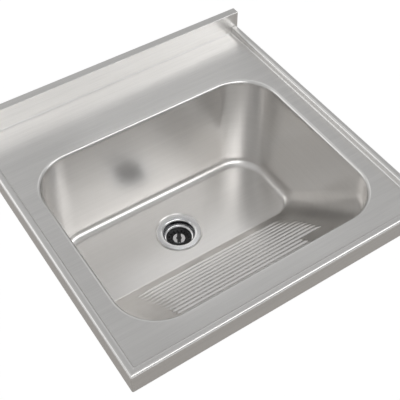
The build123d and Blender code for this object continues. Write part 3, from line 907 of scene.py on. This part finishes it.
# The room inside the basket is a shell of its own, turned inside out
hollow_line = [(post_radius, -0.0329), (0.0229, -0.0329)]
hollow_line += [(0.0229, rim_under), (post_radius, rim_under)]
hollow_bm = turned(hollow_line)
bmesh.ops.reverse_faces(hollow_bm, faces=hollow_bm.faces)
hollow_mesh = bpy.data.meshes.new("hollow")
hollow_bm.to_mesh(hollow_mesh)
hollow_bm.free()
basket_bm.from_mesh(hollow_mesh)
bpy.data.meshes.remove(hollow_mesh)
outer_rod = rod("outer_rod", radius=0.0019, from_axis=0.0206, low=-0.0263, high=-0.0225)
inner_rod = rod("inner_rod", radius=0.0017, from_axis=0.016, low=-0.0263, high=-0.0225)
slot_tool = block("slot_tool", (0.0221, -0.002, -0.0317), (0.0269, 0.002, -0.0267), ease=0.0007)
# A low grip is moulded across the post, a little aslant
grip_bar = block("grip_bar", (-0.0043, -0.0124, -0.0238), (0.0043, 0.0124, -0.0205), ease=0.0009)
grip_bar.data.transform(Matrix.Rotation(math.radians(-31), 4, "Z"))
basket = worked(
    "strainer_basket",
    basket_bm,
    black_plastic,
    [
        ("DIFFERENCE", outer_rod, 16),
        ("DIFFERENCE", inner_rod, 12),
        ("DIFFERENCE", slot_tool, 12),
        ("UNION", grip_bar, 1),
    ],
)
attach(basket, "basket")
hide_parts("basket")
bright_steel = steel_finish(
    "bright_ring_steel",
    tint=(0.72, 0.72, 0.73),
    roughness=0.16,
    streaks=0.02,
    anisotropy=0.75,
)
# The ring is domed in section, with its crown pressed flat at the height of the post
ring_inside = 0.0059
ring_outside = 0.0124
dome = arc((0.00915, -0.0240), 0.0044, 30, 150, 14)
knob_line = [(ring_inside, basket_top), (ring_outside, basket_top), (ring_outside, -0.0232)]
knob_line += [(radius, min(height, post_top)) for radius, height in dome]
knob_line += [(ring_inside, -0.0232)]
knob = finish_solid("knob_ring_bright", turned(knob_line), bright_steel)
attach(knob, "basket")
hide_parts("knob_ring")
disc_bottom = -0.037
disc = ring(
    "basket_rubber_disc", black_rubber, screw_hole, 0.025, disc_bottom, basket_bottom, ease=0.0006
)
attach(disc, "basket")
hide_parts("basket_seal")
plated = mottled(
    "zinc_plating",
    dark=(0.58, 0.60, 0.62),
    light=(0.68, 0.69, 0.70),
    roughness=0.32,
    grain_size=0.004,
    relief_depth=0.000004,
    metallic=1.0,
)
screw_line = [(0.0, -0.0395), (0.0045, -0.0395), (0.006, -0.0387), (0.006, disc_bottom)]
screw_line += [(0.0022, disc_bottom), (0.0022, -0.0282), (0.0020, -0.028), (0.0, -0.028)]
screw = finish_solid("disc_screw", turned(screw_line, 48), plated)
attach(screw, "basket")
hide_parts("seal_screw")

# Stiffeners: hat sections folded from plain sheet and bonded under the deck, one along each side of
# the bowl, with a wide one at the back that takes the wall brackets.
mill_steel = mottled(
    "folded_mill_steel",
    dark=(0.50, 0.50, 0.49),
    light=(0.60, 0.60, 0.59),
    roughness=0.42,
    grain_size=0.03,
    relief_depth=0.000006,
    metallic=1.0,
)


def coat(material, *names):
    """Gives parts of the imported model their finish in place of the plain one."""
    for name in names:
        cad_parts[name].data.materials.clear()
        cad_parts[name].data.materials.append(material)


coat(mill_steel, "left_channel", "right_channel", "front_channel", "rear_channel")

# Wall brackets: folded, galvanised angles with a gusset at each side, bolted up into the rear
# stiffener with plated bolts, washers and nuts.
galvanised = mottled(
    "galvanised_bracket",
    dark=(0.42, 0.43, 0.44),
    light=(0.60, 0.61, 0.62),
    roughness=0.48,
    grain_size=0.012,
    relief_depth=0.00001,
    metallic=1.0,
)
coat(galvanised, "left_wall_bracket", "right_wall_bracket")
coat(plated, "bracket_bolts", "bracket_washers", "bracket_nuts")

# Sound pads: sheets of bitumen glued to the outside of the bowl, dull and slightly grainy. They
# keep the thin steel from ringing when water falls on it.
bitumen = mottled(
    "bitumen_pad",
    dark=(0.022, 0.022, 0.022),
    light=(0.045, 0.044, 0.043),
    roughness=0.85,
    grain_size=0.003,
    relief_depth=0.00012,
)
coat(bitumen, "back_sound_pad", "left_sound_pad", "right_sound_pad")
coat(bitumen, "slope_sound_pad", "floor_sound_pad")

# Studio: a pale floor well below the sink, inside a tent of white cloth that is lit from outside, as
# polished metal is photographed. The cloth takes the place of lamps; a grey card on the floor and a
# glowing card above are seen only in the metal, as painted shade and a painted reflection.
floor_level = -0.85


def level_card(name, centre, width, depth, level):
    """A flat horizontal sheet of mesh for the floor or a card on it."""
    x, y = centre
    corners = [(-1, -1), (1, -1), (1, 1), (-1, 1)]
    mesh = bpy.data.meshes.new(name)
    places = [(x + i * width / 2, y + j * depth / 2, level) for i, j in corners]
    mesh.from_pydata(places, [], [(0, 1, 2, 3)])
    return new_piece(name, mesh)


def looked_at(tree):
    """1 for the camera's own rays and those that metal and glass send on, 0 for the rest."""
    path = tree.nodes.new("ShaderNodeLightPath")
    through = path.outputs["Is Transmission Ray"]
    mirrored = path.outputs["Is Glossy Ray"]
    either = worked_out(tree, "MAXIMUM", through, mirrored)
    return worked_out(tree, "MAXIMUM", either, path.outputs["Is Camera Ray"])


def glowing_paint(name, colour, tint, brightness, share):
    """Matt paint, of which camera and mirrored rays see a share at a set brightness."""
    paint = bpy.data.materials.new(name)
    paint.use_nodes = True
    tree = paint.node_tree
    matt = tree.nodes["Principled BSDF"]
    matt.inputs["Base Color"].default_value = (*colour, 1)
    matt.inputs["Roughness"].default_value = 0.9
    glow = tree.nodes.new("ShaderNodeEmission")
    glow.inputs["Color"].default_value = (*tint, 1)
    glow.inputs["Strength"].default_value = brightness
    part = worked_out(tree, "MULTIPLY", looked_at(tree), share)
    blend = tree.nodes.new("ShaderNodeMixShader")
    tree.links.new(part, blend.inputs["Fac"])
    tree.links.new(matt.outputs["BSDF"], blend.inputs[1])
    tree.links.new(glow.outputs["Emission"], blend.inputs[2])
    tree.links.new(blend.outputs["Shader"], tree.nodes["Material Output"].inputs["Surface"])
    return paint


pale_paint = glowing_paint(
    "pale_floor", colour=(0.85, 0.85, 0.85), tint=(1, 1, 1), brightness=1.09, share=0.92
)
floor = level_card("floor", centre=(0, 0), width=18, depth=18, level=floor_level)
floor.data.materials.append(pale_paint)
# Painted shade: a warm grey card on the floor that glows dimly for mirrored rays, standing for the
# floor in the sink's shade; only the metal and the light meet it, not the camera
floor_shade_paint = glowing_paint(
    "painted_floor_shade", colour=(0.45, 0.43, 0.41), tint=(1.0, 0.95, 0.90), brightness=0.40, share=1.0
)
floor_card = level_card(
    "floor_card", centre=(0, -0.3), width=3.0, depth=3.0, level=floor_level + 0.01
)
floor_card.data.materials.append(floor_shade_paint)
floor_card.visible_camera = False


def tent_wall(radius, middle_y, sides):
    """A dome of white cloth round the object, from just under the horizon up to its crown."""
    bm = bmesh.new()
    turns = [2 * math.pi * i / sides for i in range(sides)]
    rings = []
    for lift in range(-1, 9):
        rise = math.radians(11 * lift)
        reach = radius * math.cos(rise)
        height = radius * math.sin(rise)
        places = [(reach * math.cos(a), middle_y + reach * math.sin(a), height) for a in turns]
        rings.append([bm.verts.new(place) for place in places])
    for low, high in zip(rings, rings[1:]):
        for i in range(sides):
            bm.faces.new((low[i], high[i], high[i - 1], low[i - 1]))
    bm.faces.new(rings[-1])
    return shape_from("tent", bm)


def tent_cloth(base, strip, zones):
    """Cloth lit from outside: an even level, one level strip of light, and softly edged zones.

    Directions are in degrees: a heading of 0 is the user's side and 90 the right, and a lift of 90
    is straight up. The strip is (heading, half width, low, high, edge, change). A zone is (heading,
    lift, inner radius, outer radius, change), and its change fades out between the two radii.
    """
    cloth = bpy.data.materials.new("tent_cloth")
    cloth.use_nodes = True
    tree = cloth.node_tree
    tree.nodes.remove(tree.nodes["Principled BSDF"])
    place = tree.nodes.new("ShaderNodeTexCoord")
    outwards = tree.nodes.new("ShaderNodeVectorMath")
    outwards.operation = "NORMALIZE"
    tree.links.new(place.outputs["Object"], outwards.inputs[0])

    def ramp(value, low, high, change):
        """Rises softly from 0 to change as the value goes from low to high."""
        step = tree.nodes.new("ShaderNodeMapRange")
        step.interpolation_type = "SMOOTHSTEP"
        step.inputs["From Min"].default_value = low
        step.inputs["From Max"].default_value = high
        step.inputs["To Max"].default_value = change
        tree.links.new(value, step.inputs["Value"])
        return step.outputs["Result"]

    def facing(heading, lift):
        """How nearly a place on the cloth lies in a direction: the cosine of the angle."""
        across = math.cos(math.radians(lift))
        x = math.sin(math.radians(heading)) * across
        y = -math.cos(math.radians(heading)) * across
        along = tree.nodes.new("ShaderNodeVectorMath")
        along.operation = "DOT_PRODUCT"
        along.inputs[1].default_value = (x, y, math.sin(math.radians(lift)))
        tree.links.new(outwards.outputs[0], along.inputs[0])
        return along.outputs["Value"]

    def cosine(angle):
        return math.cos(math.radians(angle))

    heading, half, low, high, edge, change = strip
    strip_lift = 36
    fade_from = 0.7
    height = facing(0, 90)
    above = ramp(height, cosine(90 - low + edge), cosine(90 - low), 1)
    below = ramp(height, cosine(90 - high - edge), cosine(90 - high), 1)
    across = ramp(facing(heading, strip_lift), cosine(half), cosine(half * fade_from), change)
    level_strip = worked_out(tree, "MULTIPLY", above, below)
    strip_light = worked_out(tree, "MULTIPLY", level_strip, across)
    total = worked_out(tree, "ADD", strip_light, base)
    for heading, lift, inner, outer, change in zones:
        zone_light = ramp(facing(heading, lift), cosine(outer), cosine(inner), change)
        total = worked_out(tree, "ADD", zone_light, total)
    glow = tree.nodes.new("ShaderNodeEmission")
    tree.links.new(total, glow.inputs["Strength"])
    tree.links.new(glow.outputs["Emission"], tree.nodes["Material Output"].inputs["Surface"])
    return cloth


tent = tent_wall(radius=6.5, middle_y=-0.3, sides=48)
tent.data.materials.append(
    tent_cloth(
        base=0.70,
        strip=(12, 46, 29, 41, 6, 2.15),
        zones=[
            (15, 44, 10, 60, 0.25),
            (18, 10, 8, 25, -0.6),
            (24, 60, 9, 21, -0.55),
            (-12, 43, 5, 18, 0.3),
            (-58, 45, 12, 30, -0.2),
            (-125, 24, 6, 20, 0.9),
            (-150, 30, 20, 45, 0.12),
            (132, 42, 45, 72, -0.15),
        ],
    )
)
tent.visible_camera = False

# Painted reflection: a card high behind the sink, to the right, which the bowl's floor and the
# washboard mirror; it glows only where the metal mirrors it and lights nothing matte
reflection_glow_paint = glowing_paint(
    "painted_reflection_glow", colour=(0.8, 0.8, 0.8), tint=(1, 1, 1), brightness=1.12, share=1.0
)
high_card = level_card("high_card", centre=(0.50, 0.38), width=0.66, depth=0.60, level=1.05)
high_card.data.materials.append(reflection_glow_paint)
high_card.visible_camera = False

# The room round the tent: white to the camera and to mirrored rays, and dimmer as light
world = bpy.data.worlds.new("white_room")
bpy.context.scene.world = world
world.use_nodes = True
world_tree = world.node_tree
background = world_tree.nodes["Background"]
background.inputs["Color"].default_value = (1, 1, 1, 1)
white_level = world_tree.nodes.new("ShaderNodeMapRange")
white_level.inputs["To Min"].default_value = 0.55
white_level.inputs["To Max"].default_value = 1.0
world_tree.links.new(looked_at(world_tree), white_level.inputs["Value"])
world_tree.links.new(white_level.outputs["Result"], background.inputs["Strength"])

bpy.context.scene.view_settings.view_transform = "Standard"
